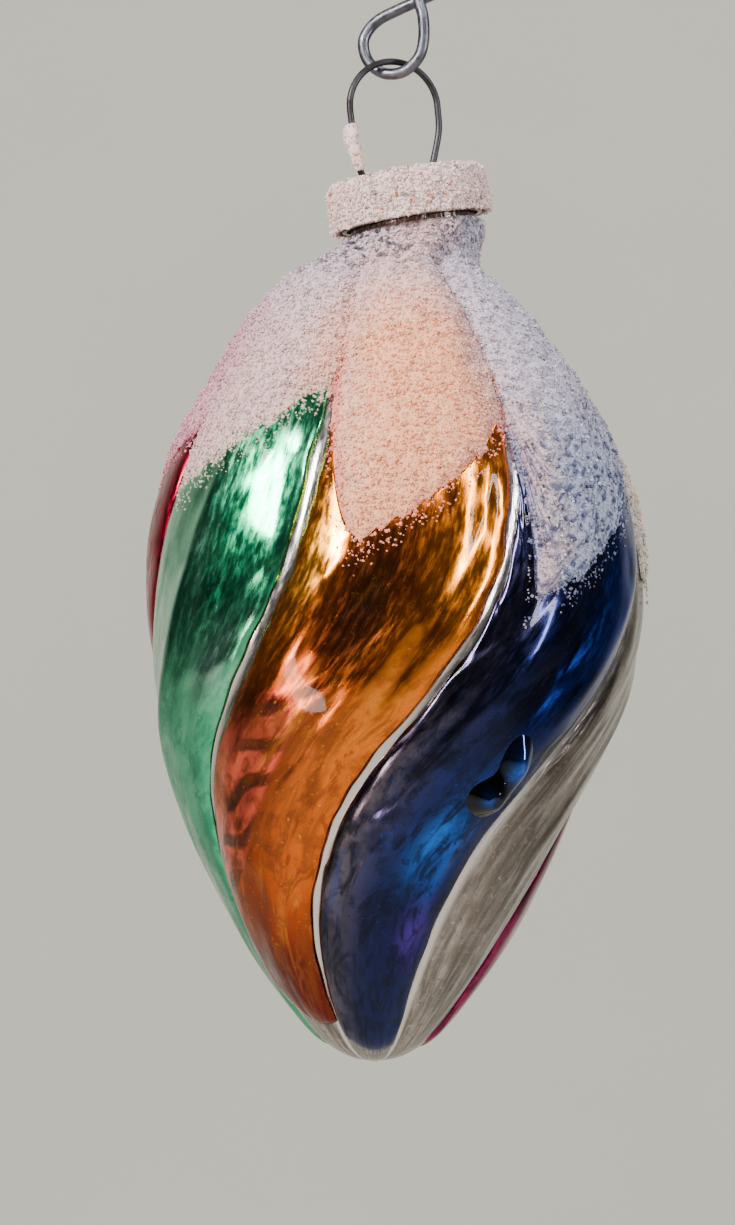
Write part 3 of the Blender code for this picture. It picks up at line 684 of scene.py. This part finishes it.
# Each lacquer's brightest colour is what its material mixes in as painted sheen and painted glints
LACQUER_STREAKS = {  # the darkest and the brightest that each lacquer gets
    "green": ((0.02, 0.29, 0.16), (0.36, 0.74, 0.54)),
    "orange": ((0.24, 0.05, 0.006), (1.0, 0.34, 0.02)),
    "blue": ((0.001, 0.003, 0.02), (0.010, 0.045, 0.28)),
    "magenta": ((0.06, 0.002, 0.02), (0.50, 0.04, 0.20)),
    "gold": ((0.22, 0.09, 0.01), (1.0, 0.60, 0.14)),
    "red": ((0.05, 0.001, 0.004), (0.36, 0.012, 0.03)),
}
SNOW_TINTS = {  # what each lobe's colour does to the snow on it
    "green": (0.68, 0.46, 0.46), "orange": (0.96, 0.42, 0.23), "blue": (0.40, 0.42, 0.55),
    "silver": (0.70, 0.54, 0.42), "magenta": (0.60, 0.32, 0.42), "gold": (0.72, 0.50, 0.24),
    "red": (0.58, 0.27, 0.35),
}
SNOW_EDGE_TINTS = {  # and at its thin lower edge
    "green": (0.50, 0.50, 0.36), "orange": (0.82, 0.24, 0.18), "blue": (0.20, 0.23, 0.40),
    "silver": (0.50, 0.42, 0.36), "magenta": (0.40, 0.08, 0.20), "gold": (0.70, 0.38, 0.10),
    "red": (0.40, 0.08, 0.14),
}
NECK_SNOW = (0.62, 0.53, 0.62)
BLUE_SPECKLES, WORN_SNOW = (0.03, 0.045, 0.14), (0.035, 0.04, 0.06)


def snow_tint(turn, height, depth, points):
    """The crust's colour: its lobe's tint, deeper at the thin edge, and worn under the cap."""
    middles = np.array([SNOW_TINTS[name] for name in LOBES])
    edges = np.array([SNOW_EDGE_TINTS[name] for name in LOBES])
    slip = turn + 0.10 * noise_at(points, 3 * MM, 5)
    lobe = np.floor(slip).astype(int)
    across = (slip - lobe - 0.5)[..., None]
    here, after, before = ((lobe + k) % len(LOBES) for k in (0, 1, -1))
    share = 0.5 * smooth_step(np.abs(across), 0.15, 0.5)
    other = np.where(across > 0, middles[after], middles[before])
    thin = (1 - smooth_step(depth, 0.1 * MM, 2.4 * MM))[..., None]
    mottle = noise_at(points, 0.9 * MM, 9)[..., None]
    thin = np.clip(thin * (0.75 + 0.6 * mottle), 0, 1)
    speckled = smooth_step(noise_at(points, 0.55 * MM, 3), 0.02, 0.25)[..., None]
    blue = here == LOBES.index("blue")
    on_blue = blue[..., None] * speckled * 0.85
    foot = np.where(blue, 53 * MM, 63 * MM)
    neck = 0.7 * smooth_step(height, foot, foot + 9 * MM)[..., None]
    left = 1 - smooth_step(points[..., :1], -1 * MM, 4 * MM)
    darker_share = smooth_step(height, 68.5 * MM, 73 * MM)[..., None] * speckled * (0.25 + 0.7 * left)
    stains = (on_blue, BLUE_SPECKLES), (neck, NECK_SNOW), (darker_share, WORN_SNOW)
    return blended(middles[here], (share, other), (thin, edges[here]), *stains)


# The pieces


def hook_path():
    """From the tail that wraps the eye, round the eye, up the shank and over the crook."""
    half, tall, behind = EYE_WIDTH / 2, EYE_HEIGHT, HOOK_WIRE * 1.27
    eye = [
        (1.30 * half, behind, 1.08 * tall), (0.80 * half, behind, 1.0 * tall),
        (0.10 * half, 0.75 * behind, 0.88 * tall), (-0.62 * half, 0.4 * behind, 0.72 * tall),
        (-0.96 * half, 0, 0.48 * tall), (-0.86 * half, 0, 0.22 * tall),
        (-0.46 * half, 0, 0.05 * tall), (0, 0, 0), (0.46 * half, 0, 0.05 * tall),
        (0.86 * half, 0, 0.22 * tall), (1.0 * half, 0, 0.46 * tall),
        (0.97 * half, 0, 0.74 * tall), (0.82 * half, 0, 1.06 * tall), (0.90 * half, 0, 1.8 * tall),
    ]
    bend = CROOK_RADIUS + HOOK_WIRE / 2
    middle = HOOK_LENGTH - CROOK_RADIUS
    angles = [math.radians(degrees) for degrees in range(-20, 211, 4)]
    crook = [Vector((bend * math.cos(a), 0, middle + bend * math.sin(a))) for a in angles]
    flick = crook[-1] + Vector((-1.0 * MM, 0, -1.6 * MM))
    path = smooth_path([*eye, crook[0]], 12)[:-1] + crook + [flick]
    turn = Matrix.Rotation(HOOK_TURN, 3, "Z")
    return [turn @ p - Vector((0, 0, HOOK_LENGTH)) for p in path]


def loop_path():
    """In the loop's plane: x across it, z above the cap's top."""
    legs = [
        (0.78 * LEG_SPREAD, 1.6, -LEG_DEPTH), (0.88 * LEG_SPREAD, 1.4, -0.6 * LEG_DEPTH),
        (0.9 * LEG_SPREAD, 1.2, -0.27 * LEG_DEPTH), (HOLE_OFFSET, 1, 0),
        (0.86 * LOOP_RADIUS, 0.7, 0.3 * LOOP_CENTRE), (0.98 * LOOP_RADIUS, 0.2, 0.66 * LOOP_CENTRE),
    ]
    left = [Vector((share * HOLE_SHIFT - out, 0, height)) for out, share, height in legs]
    right = [Vector((share * HOLE_SHIFT + out, 0, height)) for out, share, height in legs]
    angles = [math.radians(degrees) for degrees in range(180, -1, -6)]
    top = Vector((0, 0, LOOP_CENTRE))
    arc = [top + LOOP_RADIUS * Vector((math.cos(a), 0, math.sin(a))) for a in angles]
    down = smooth_path([arc[-1], *reversed(right)], 12)[1:]
    return smooth_path([*left, arc[0]], 12)[:-1] + arc + down


def make_wires():
    steel = wire_material("dull_steel", (0.16, 0.16, 0.19), (0.07, 0.068, 0.08), 0.38)
    spring = wire_material("dark_spring_steel", (0.060, 0.055, 0.062), (0.025, 0.02, 0.02), 0.42)
    hook = tube("hook_wire", hook_path(), HOOK_WIRE / 2, "hook", steel)
    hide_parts("wire_hook")
    path = [ON_CAP @ p for p in loop_path()]
    loop = tube("loop_wire", path, LOOP_WIRE / 2, "loop", spring)
    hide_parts("hanging_loop")


def make_glass():
    """The whole bulb, with its wall, open at the neck. It shows bare between the lacquers."""
    material = mirror_material("aged_silvered_glass", (0.40, 0.345, 0.315), (0.15, 0.125, 0.11))
    columns = len(LOBES) * GLASS_COLUMNS
    turn = np.arange(columns) * len(LOBES) / columns
    body = outline_heights(TIP_HEIGHT + 0.02 * MM, NECK_FOOT, 125)
    heights = np.concatenate([body, outline_heights(NECK_FOOT, RIM_HEIGHT, 28)[1:]])
    turns, levels = np.meshgrid(turn, heights)
    poles = np.array([[0, 0, TIP_HEIGHT], [0, 0, TIP_HEIGHT + GLASS_WALL]]) + TIP
    inner = coat(turns, levels, np.full(turns.shape, -GLASS_WALL))
    near = levels < 3 * MM  # normals cross near the tip, so the inside is a raised copy there
    raised = glass(turns, levels) + np.array((0, 0, GLASS_WALL))
    inner = np.where(near[..., None], raised, inner)
    piece = shell("glass", glass(turns, levels), inner, "bulb", material, poles=poles)
    lay_out(piece, turns, levels)
    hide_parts("glass_bulb")


def make_lacquer(number):
    """A film that is flush with the glass along its borders and full in the middle."""
    name = LOBES[number]
    dark, painted_highlight = LACQUER_STREAKS[name]
    material = lacquer_material(f"{name}_lacquer", dark, painted_highlight, 0.6 if name == "red" else 1.0)
    share = np.linspace(0, 1, LACQUER_COLUMNS)
    level = np.linspace(0, 1, LACQUER_ROWS)[:, None]
    spots = np.stack([0 * level[:, 0] + number * 9.0, level[:, 0] * 30, 0 * level[:, 0]], -1)
    left = LACQUER_MARGIN + LACQUER_WANDER * noise_at(spots, 1.6, number)[:, None]
    right = LACQUER_MARGIN + LACQUER_WANDER * noise_at(spots, 1.6, number + 20)[:, None]
    turn = number + left + (1 - left - right) * share
    top = snow_edge(np.clip(turn, number + 1e-4, number + 1 - 1e-4)) + LACQUER_UNDER_SNOW
    end, end_across, rise = LACQUER_ENDS[name]
    start = end + rise * ((share - end_across) / max(end_across, 1 - end_across)) ** 2
    height = start + (top - start) * level
    rim = np.minimum(np.minimum(share, 1 - share) / 0.10, 1) * np.minimum(level / 0.04, 1)
    film = LACQUER_FILM * np.sqrt(np.clip(rim * (2 - rim), 0, 1)) + 0.03 * MM
    outer = coat(turn, height, film)
    inner = coat(turn, height, np.full(film.shape, -0.05 * MM))
    piece = shell(f"{name}_lacquer", outer, inner, "bulb", material, ring=False)
    across = turn - number - 0.5
    tint = lacquer_tint(name, across, height).reshape(-1, 3)
    paint(piece, np.tile(tint, (2, 1)))
    lay_out(piece, turn, height)
    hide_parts(f"lacquer_{name}")


def make_drip():
    """Two drops of lacquer that ran together, drawn on the glass in millimetres."""
    drops = ((-1.0, -1.7, 1.9, 1.55), (0.9, 1.35, 1.4, 2.2))  # right, up, half width, half height

    def swell(right, up):
        reach = [((right - x) / w) ** 2 + ((up - y) / h) ** 2 for x, y, w, h in drops]
        return sum(np.exp(-0.9 * r) for r in reach)

    rings, segments = 30, 200
    angle = np.linspace(0, math.tau, segments, endpoint=False)
    near, edge = np.zeros(segments), np.full(segments, 6.0)
    for _ in range(40):
        half = (near + edge) / 2
        inside = swell(half * np.cos(angle), half * np.sin(angle)) > DROP_LEVEL
        near, edge = np.where(inside, half, near), np.where(inside, edge, half)
    share = 1 - 0.97 * np.linspace(0, 1, rings)[:, None] ** 1.6
    right, up = share * edge * np.cos(angle), share * edge * np.sin(angle)
    full = np.clip((swell(right, up) - DROP_LEVEL) / 0.62, 0, 1)
    middle = LOBES.index("blue") + 0.5 + DRIP_ACROSS
    turn = middle + (right - DROP_SLANT * up) / LOBE_WIDTH_AT_DROPS
    height = DRIP_HEIGHT + up * MM
    outer = coat(turn, height, LACQUER_FILM + DROP_RISE * full**0.9)
    inner = coat(turn, height, np.full(full.shape, 0.1 * MM))
    piece = shell("lacquer_drops", outer, inner, "bulb", drip_material())
    # A painted blue highlight on the upper drop, and a fainter one on the lower
    blue = np.exp(-(((right - 0.8) / 0.7) ** 2) - ((up - 1.5) / 1.3) ** 2)
    blue = np.maximum(blue, 0.5 * np.exp(-(((right + 1.3) / 0.5) ** 2) - ((up + 1.4) / 0.6) ** 2))
    tint = blended(DROP_BLACK, (blue[..., None], (0.02, 0.16, 0.90)))
    paint(piece, np.tile(tint.reshape(-1, 3), (2, 1)))
    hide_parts("lacquer_drip")


def make_shoulder_snow(material):
    """The crust, from its ragged edge on each lobe up to the neck."""
    columns = len(LOBES) * SNOW_COLUMNS
    turn = np.arange(columns) * len(LOBES) / columns
    edge = ragged_edge(turn)
    level = np.linspace(0, 1, 95)[:, None]
    fan = edge + (NECK_FOOT - edge) * level
    neck = outline_heights(NECK_FOOT, SNOW_TOP, 34)[1:, None] + 0 * turn
    height = np.concatenate([fan, neck])
    turns = np.broadcast_to(turn, height.shape)
    on_glass = glass(turns, height)
    depth = depth_in_snow(turns, height, edge)
    top = smooth_step(height, SNOW_TOP - 1.5 * MM, SNOW_TOP)
    lift = snow_lift(depth, on_glass) * (1 - 0.5 * top)
    outer = coat(turns, height, lift)
    inner = coat(turns, height, np.full(lift.shape, 0.02 * MM))
    piece = shell("snow_crust", outer, inner, "bulb", material)
    tint = snow_tint(turns, height, depth, on_glass).reshape(-1, 3)
    paint(piece, np.tile(tint, (2, 1)))
    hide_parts("shoulder_snow")


def make_shoulder_grains(material):
    """Grains over the crust, thickest along its edge, with a few strays below it."""
    rng = np.random.default_rng(4)
    count = SHOULDER_GRAINS
    turn = rng.uniform(0, len(LOBES), count)
    edge = ragged_edge(turn)
    spread = SNOW_TOP - 0.4 * MM - edge
    height = edge + spread * rng.uniform(0, 1, count) ** 1.15
    stray = rng.uniform(0, 1, count) < STRAY_GRAINS
    height = np.where(stray, edge - np.abs(rng.normal(0, 0.55, count)) * MM, height)
    on_glass = glass(turn, height)
    depth = depth_in_snow(turn, height, edge)
    lift = np.where(height < edge, LACQUER_FILM, snow_lift(depth, on_glass))
    normals = glass_normal(turn, height)
    tint = snow_tint(turn, height, depth, on_glass) * rng.uniform(0.85, 1.15, (count, 1))
    places = on_glass + normals * lift[:, None]
    scale = np.where(height < edge, 0.65, 1.0)
    piece = grains("snow_grains", places, normals, 5, "bulb", material, np.clip(tint, 0, 1), scale)


def cap_crust_outline():
    """Radius and level of the crust's outer face, from the cap's middle down to the hem."""
    wide, top = CAP_RADIUS + CAP_SNOW_GAP + CAP_SNOW_THICK, CAP_SNOW_THICK + CAP_SNOW_GAP
    corner = CAP_SNOW_CORNER
    bend = np.linspace(0, math.pi / 2, 14)
    arc = [(wide - corner * (1 - math.sin(a)), top - corner * (1 - math.cos(a))) for a in bend]
    flat = [(r, top) for r in np.linspace(0.02 * MM, wide - corner, 36)[:-1]]
    skirt = [(wide, z) for z in np.linspace(top - corner, -CAP_SKIRT, 26)[1:]]
    return np.array(flat + arc + skirt)


def make_cap_snow(material):
    """The cap's crust, on its top and its skirt, with the loop's two holes through it."""
    outline = cap_crust_outline()
    angle = np.linspace(0, math.tau, CAP_SNOW_COLUMNS, endpoint=False)
    spokes = np.stack([np.cos(angle), np.sin(angle)], -1)
    radius, level = outline[:, 0][:, None], outline[:, 1][:, None]
    plain = np.stack([radius * spokes[:, 0], radius * spokes[:, 1], level + 0 * angle], -1)
    step = np.gradient(outline, axis=0)
    out = np.stack([-step[:, 1], step[:, 0]], -1)
    out /= np.linalg.norm(out, axis=1, keepdims=True)
    across, up = out[:, :1], out[:, 1:]
    normal = np.stack([across * spokes[:, 0], across * spokes[:, 1], up + 0 * angle], -1)
    lumps = 0.7 * noise_at(plain, 1.3 * MM, 11) + 0.8 * noise_at(plain, 0.55 * MM, 12)
    fade = smooth_step(radius, 0.1 * MM, 1.0 * MM)
    outer = plain + normal * (SNOW_ROUGHNESS * 1.2 * lumps * fade - 0.05 * MM)[..., None]
    hem = smooth_step(-level, CAP_SKIRT * 0.7, CAP_SKIRT)
    outer[..., 2] += np.maximum(0.25 * MM * noise_at(plain, 0.8 * MM, 13) * hem, 0)
    inner = plain - normal * CAP_SNOW_THICK * 0.95
    inner[..., 2] = np.minimum(inner[..., 2], outer[..., 2])
    poles = np.array([outer[0].mean(0), inner[0].mean(0)])
    sides = [transformed(side, ON_CAP_FLAT) for side in (outer, inner)]
    piece = shell("cap_crust", *sides, "cap", material, poles=transformed(poles, ON_CAP_FLAT))
    cut_leg_holes(piece)
    tint = cap_tint(np.array([v.co for v in piece.data.vertices]))
    paint(piece, tint)
    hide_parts("cap_snow")
    area = np.repeat(np.hypot(step[:, 0], step[:, 1])[:, None] * radius, len(angle), 1).ravel()
    make_cap_grains(material, outer.reshape(-1, 3), normal.reshape(-1, 3), area)


def make_cap_grains(material, spots, normals, area):
    """Grains over the crust's outer face, clear of the holes. Each spot stands for an area."""
    rng = np.random.default_rng(8)
    pick = rng.choice(len(area), CAP_GRAINS, p=area / area.sum())
    spots, normals = spots[pick], normals[pick]
    clear = np.ones(len(pick), bool)
    for hole in LEG_HOLES:
        clear &= np.hypot(spots[:, 0] - hole.x, spots[:, 1] - hole.y) > SNOW_HOLE_RADIUS + GRAIN
    places = transformed(spots[clear], ON_CAP_FLAT)
    normals = transformed(normals[clear], ON_CAP_FLAT.to_3x3())
    tint = cap_tint(places) * rng.uniform(0.85, 1.15, (len(places), 1))
    piece = grains("cap_grains", places, normals, 9, "cap", material, np.clip(tint, 0, 1))


def cap_tint(points):
    """Pinkish white, with rust bleeding through and grey worn patches."""
    rust = smooth_step(noise_at(points, 0.55 * MM, 15), 0.40, 0.55)[:, None] * 0.75
    grey = smooth_step(noise_at(points, 0.6 * MM, 16), 0.38, 0.56)[:, None] * 0.7
    return blended((0.86, 0.64, 0.61), (grey, (0.17, 0.15, 0.18)), (rust, (0.60, 0.15, 0.05)))


def cut_leg_holes(piece):
    """Two holes through the cap's crust, round the loop's legs."""
    depsgraph = bpy.context.evaluated_depsgraph_get()
    cutters = []
    for hole in LEG_HOLES:
        made = bmesh.new()
        sides = {"radius1": SNOW_HOLE_RADIUS, "radius2": SNOW_HOLE_RADIUS, "depth": 4 * MM}
        bmesh.ops.create_cone(made, cap_ends=True, segments=24, **sides)
        made.transform(ON_CAP_FLAT @ Matrix.Translation(hole))
        mesh = bpy.data.meshes.new("leg_hole")
        made.to_mesh(mesh)
        made.free()
        cutters.append(new_object("leg_hole", mesh))
        piece.modifiers.new("hole", "BOOLEAN").object = cutters[-1]
    depsgraph.update()
    result = bpy.data.meshes.new_from_object(piece.evaluated_get(depsgraph))
    piece.modifiers.clear()
    piece.data = result
    for cutter in cutters:
        bpy.data.objects.remove(cutter)


def make_loop_snow(material):
    """A clump of crust on the outer side of the loop's left leg."""
    path = [p for p in loop_path() if p.x < 0 and CLUMP_LOW < p.z < CLUMP_HIGH]
    rows, columns = len(path), 28
    angle = np.linspace(0, math.tau, columns, endpoint=False)
    centres = np.array(path)[:, None]
    share = np.linspace(0, 1, rows)[:, None]
    swell = np.sin(math.pi * share) ** 0.45
    radius = LOOP_WIRE / 2 + 0.05 * MM + (0.12 + 0.38 * share) * MM * swell
    spokes = np.stack([np.cos(angle), np.sin(angle), 0 * angle], -1)
    outer = centres + spokes * radius[..., None]
    outer[..., 0] -= 0.40 * MM * swell * share**2
    lumps = noise_at(outer, 0.7 * MM, 21)
    outer = outer + spokes * (0.16 * MM * lumps * swell)[..., None]
    inner = centres + spokes * (LOOP_WIRE / 2 - 0.02 * MM)
    sides = [transformed(side, ON_CAP) for side in (outer, inner)]
    piece = shell("loop_clump", *sides, "loop", material)
    tint = cap_tint(np.array([v.co for v in piece.data.vertices]))
    paint(piece, tint)
    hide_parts("loop_snow")


def transformed(points, matrix):
    flat = np.array([matrix @ Vector(p) for p in points.reshape(-1, 3)])
    return flat.reshape(points.shape)


def finish_hidden_nodes(frame):
    """The cap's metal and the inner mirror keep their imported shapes."""
    tin = wire_material("tinned_cap", (0.62, 0.56, 0.50), (0.36, 0.22, 0.14), 0.38)
    frame["nodes"]["cap_shell"].material_slots[0].material = tin
    lining = Nodes("inner_silvering")
    haze = lining.noise(lining.place(), 0.4, 4)
    lining.link(lining.mix(haze, (0.80, 0.78, 0.74), (0.55, 0.50, 0.44)), "Base Color")
    lining.link(lining.spread(haze, 0.3, 0.7, 0.12, 0.35), "Roughness")
    lining.set(Metallic=1.0)
    frame["nodes"]["silver_lining"].material_slots[0].material = lining.material


# Stage


VIEW_DISTANCE = 0.32
VIEW_HEIGHT = 0.1099
LOOK_AT = Vector((-0.0023, 0, -0.0823))


def make_stage():
    """A pale floor that curves up into a backdrop."""
    floor, back, bend, half = -0.42, 0.55, 0.30, 1.2
    profile = [(-0.9, floor), (back - bend, floor)]
    for degrees in range(10, 91, 10):
        a = math.radians(degrees)
        profile.append((back - bend + bend * math.sin(a), floor + bend - bend * math.cos(a)))
    profile.append((back, 1.6))
    points = [(x, y, z) for y, z in profile for x in (-half, half)]
    faces = [(2 * i, 2 * i + 1, 2 * i + 3, 2 * i + 2) for i in range(len(profile) - 1)]
    m = Nodes("pale_floor")
    tone = m.noise(m.place(), 0.01, 3)
    m.link(m.mix(tone, (0.50, 0.49, 0.44), (0.56, 0.55, 0.49)), "Base Color")
    m.set(Roughness=0.9)
    stage = mesh_object("floor", points, faces, None, m.material)


def add_light(name, place, width, height, power, colour=(1, 1, 1)):
    light = bpy.data.lights.new(name, "AREA")
    light.shape = "RECTANGLE"
    light.size, light.size_y = width, height
    light.energy = power
    light.color = colour
    lamp = new_object(name, light)
    lamp.location = place
    lamp.rotation_euler = (LOOK_AT - lamp.location).to_track_quat("-Z", "Y").to_euler()


def make_light():
    add_light("key", (-0.42, -0.42, 0.24), 0.13, 0.26, 9.0, (1.0, 0.97, 0.93))
    add_light("fill", (0.50, -0.26, 0.04), 0.05, 0.50, 3.0, (0.95, 0.97, 1.0))
    add_light("front", (0.14, -0.62, 0.34), 0.10, 0.10, 2.0)
    add_light("top", (0.05, 0.05, 0.55), 0.4, 0.4, 2.2)
    add_light("low", (-0.30, -0.35, -0.24), 0.08, 0.08, 0.5, (1.0, 0.80, 0.70))
    world = bpy.data.worlds.new("studio")
    bpy.context.scene.world = world
    world.use_nodes = True
    world.node_tree.nodes["Background"].inputs["Color"].default_value = (0.80, 0.81, 0.78, 1)
    world.node_tree.nodes["Background"].inputs["Strength"].default_value = 0.12


def make_camera():
    data = bpy.data.cameras.new("camera")
    data.sensor_fit = "VERTICAL"
    data.sensor_height = 24
    data.lens = 24 * VIEW_DISTANCE / VIEW_HEIGHT
    data.clip_start = 0.01
    camera = new_object("camera", data)
    camera.location = LOOK_AT - Vector((0, VIEW_DISTANCE, 0))
    camera.rotation_euler = (math.pi / 2, 0, 0)
    bpy.context.scene.camera = camera


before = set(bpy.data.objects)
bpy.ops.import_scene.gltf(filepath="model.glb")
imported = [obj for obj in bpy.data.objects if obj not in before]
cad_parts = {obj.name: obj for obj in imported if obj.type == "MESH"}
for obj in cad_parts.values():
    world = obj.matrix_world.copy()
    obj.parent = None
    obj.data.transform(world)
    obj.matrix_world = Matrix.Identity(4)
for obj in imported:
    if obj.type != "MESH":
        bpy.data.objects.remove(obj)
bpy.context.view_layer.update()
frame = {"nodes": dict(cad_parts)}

# Where the cap's top and the bulb's tip are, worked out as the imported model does
LEAN = Matrix.Rotation(-CAP_LEAN, 4, "Y")
LEAN_AND_TURN = LEAN @ Matrix.Rotation(LOOP_TURN, 4, "Z")
LOOP_NORMAL = LEAN_AND_TURN @ Vector((0, 1, 0))
UP_IN_PLANE = (UP - UP.dot(LOOP_NORMAL) * LOOP_NORMAL).normalized()
LINK = UP * (HOOK_WIRE / 2 + LINK_GAP + LOOP_WIRE / 2 - HOOK_LENGTH)
CAP_TOP = LINK - LOOP_RADIUS * UP_IN_PLANE - LOOP_CENTRE * (LEAN @ UP)
ON_CAP = Matrix.Translation(CAP_TOP) @ LEAN_AND_TURN
ON_CAP_FLAT = Matrix.Translation(CAP_TOP) @ LEAN
ALONG_LOOP = Matrix.Rotation(LOOP_TURN, 3, "Z") @ Vector((1, 0, 0))
LEG_HOLES = [ALONG_LOOP * (HOLE_SHIFT + side * HOLE_OFFSET) for side in (-1, 1)]
TIP = np.array(CAP_TOP) - np.array((float(middle_at(CAP_SEAT_HEIGHT)), 0, CAP_SEAT_HEIGHT))

make_camera()
make_stage()
make_light()
make_wires()
make_glass()
for lobe_number, lobe_name in enumerate(LOBES):
    if lobe_name != "silver":
        make_lacquer(lobe_number)
make_drip()
frosting = snow_material("sugary_snow", (0.20, 0.14, 0.16), 0.70)
make_shoulder_snow(frosting)
make_shoulder_grains(frosting)
make_cap_snow(frosting)
make_loop_snow(frosting)
finish_hidden_nodes(frame)
